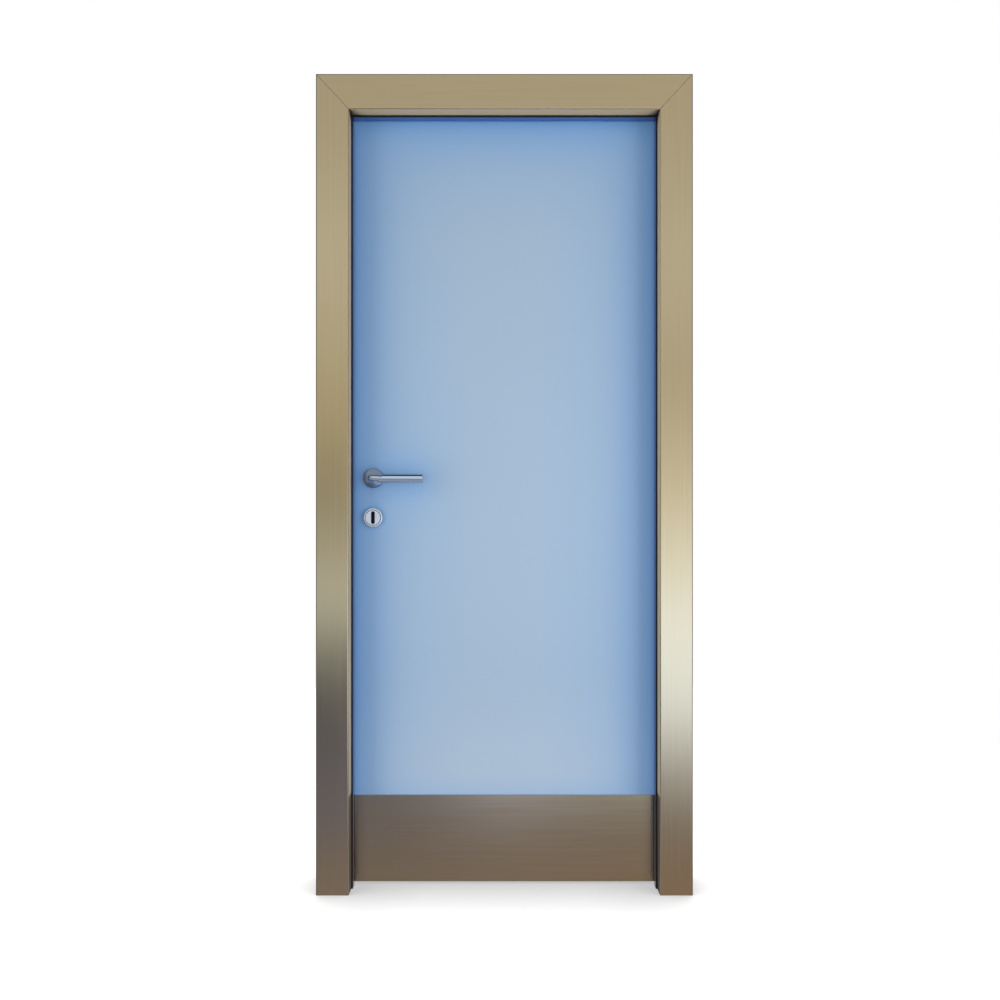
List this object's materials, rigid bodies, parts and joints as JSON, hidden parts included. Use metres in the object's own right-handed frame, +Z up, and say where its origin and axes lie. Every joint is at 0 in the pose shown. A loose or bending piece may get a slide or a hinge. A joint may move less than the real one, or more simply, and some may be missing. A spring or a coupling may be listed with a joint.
{
  "type": "single-leaf hinged door in a wall frame",
  "caption": "Hinged interior door: flat blue laminate leaf with kick plates and a sprung lever, in a mitred bronze aluminium frame that clips round a wall.",
  "frame": {"origin": "floor level on the wall face of the hinge-side jamb, halfway through the depth of the frame", "axes": "+X out of the hinge jamb's wall face, away from the doorway; +Y towards the side that the leaf opens to; +Z up"},
  "size_m": [0.972, 0.1678, 2.117],
  "materials": {
    "bronze_aluminium": "bronze anodised, satin",
    "black_rubber": "matt extruded rubber",
    "satin_steel": "satin brushed",
    "core_board": "raw chipboard",
    "blue_laminate": "satin high-pressure laminate",
    "blue_edge_band": "satin plastic edging",
    "black_steel": "black painted",
    "chrome_plate": "polished chrome",
    "satin_nickel": "satin nickel"
  },
  "bodies": {
    "frame": {"front_casing_left": "bronze_aluminium", "front_casing_right": "bronze_aluminium", "front_casing_head": "bronze_aluminium", "back_casing_left": "bronze_aluminium", "back_casing_right": "bronze_aluminium", "back_casing_head": "bronze_aluminium", "jamb_left": "bronze_aluminium", "jamb_right": "bronze_aluminium", "jamb_head": "bronze_aluminium", "stop_left": "bronze_aluminium", "stop_right": "bronze_aluminium", "stop_head": "bronze_aluminium", "front_gasket_left": "black_rubber", "front_gasket_right": "black_rubber", "front_gasket_head": "black_rubber", "door_seal_left": "black_rubber", "door_seal_right": "black_rubber", "door_seal_head": "black_rubber", "strike_plate": "satin_steel", "hinge_frame_half_lower": "satin_steel", "hinge_frame_half_middle": "satin_steel", "hinge_frame_half_upper": "satin_steel", "hinge_pin_lower": "satin_steel", "hinge_pin_middle": "satin_steel", "hinge_pin_upper": "satin_steel"},
    "leaf": {"leaf_core": "core_board", "leaf_front_face": "blue_laminate", "leaf_back_face": "blue_laminate", "hinge_edge_band": "blue_edge_band", "latch_edge_band": "blue_edge_band", "kick_plate_front": "bronze_aluminium", "kick_plate_back": "bronze_aluminium", "lock_case": "black_steel", "lock_faceplate": "satin_steel", "rose_front": "chrome_plate", "rose_back": "chrome_plate", "escutcheon_front": "satin_nickel", "escutcheon_back": "satin_nickel", "hinge_leaf_half_lower": "satin_steel", "hinge_leaf_half_middle": "satin_steel", "hinge_leaf_half_upper": "satin_steel"},
    "lever": {"lever_front": "chrome_plate", "lever_back": "chrome_plate", "spindle": "satin_steel"}
  },
  "joints": [
    {"name": "leaf_swing", "type": "hinge", "parent": "frame", "child": "leaf", "pos_m": [-0.02, 0.062, 0], "axis": [0, 0, -1], "range_deg": [0, 175]},
    {"name": "lever_turn", "type": "hinge", "parent": "leaf", "child": "lever", "pos_m": [-0.7775, 0.031, 1.0765], "axis": [0, 1, 0], "range_deg": [0, 45], "stiffness_Nm_per_rad": 1.5, "springref_deg": -34.38}
  ]
}
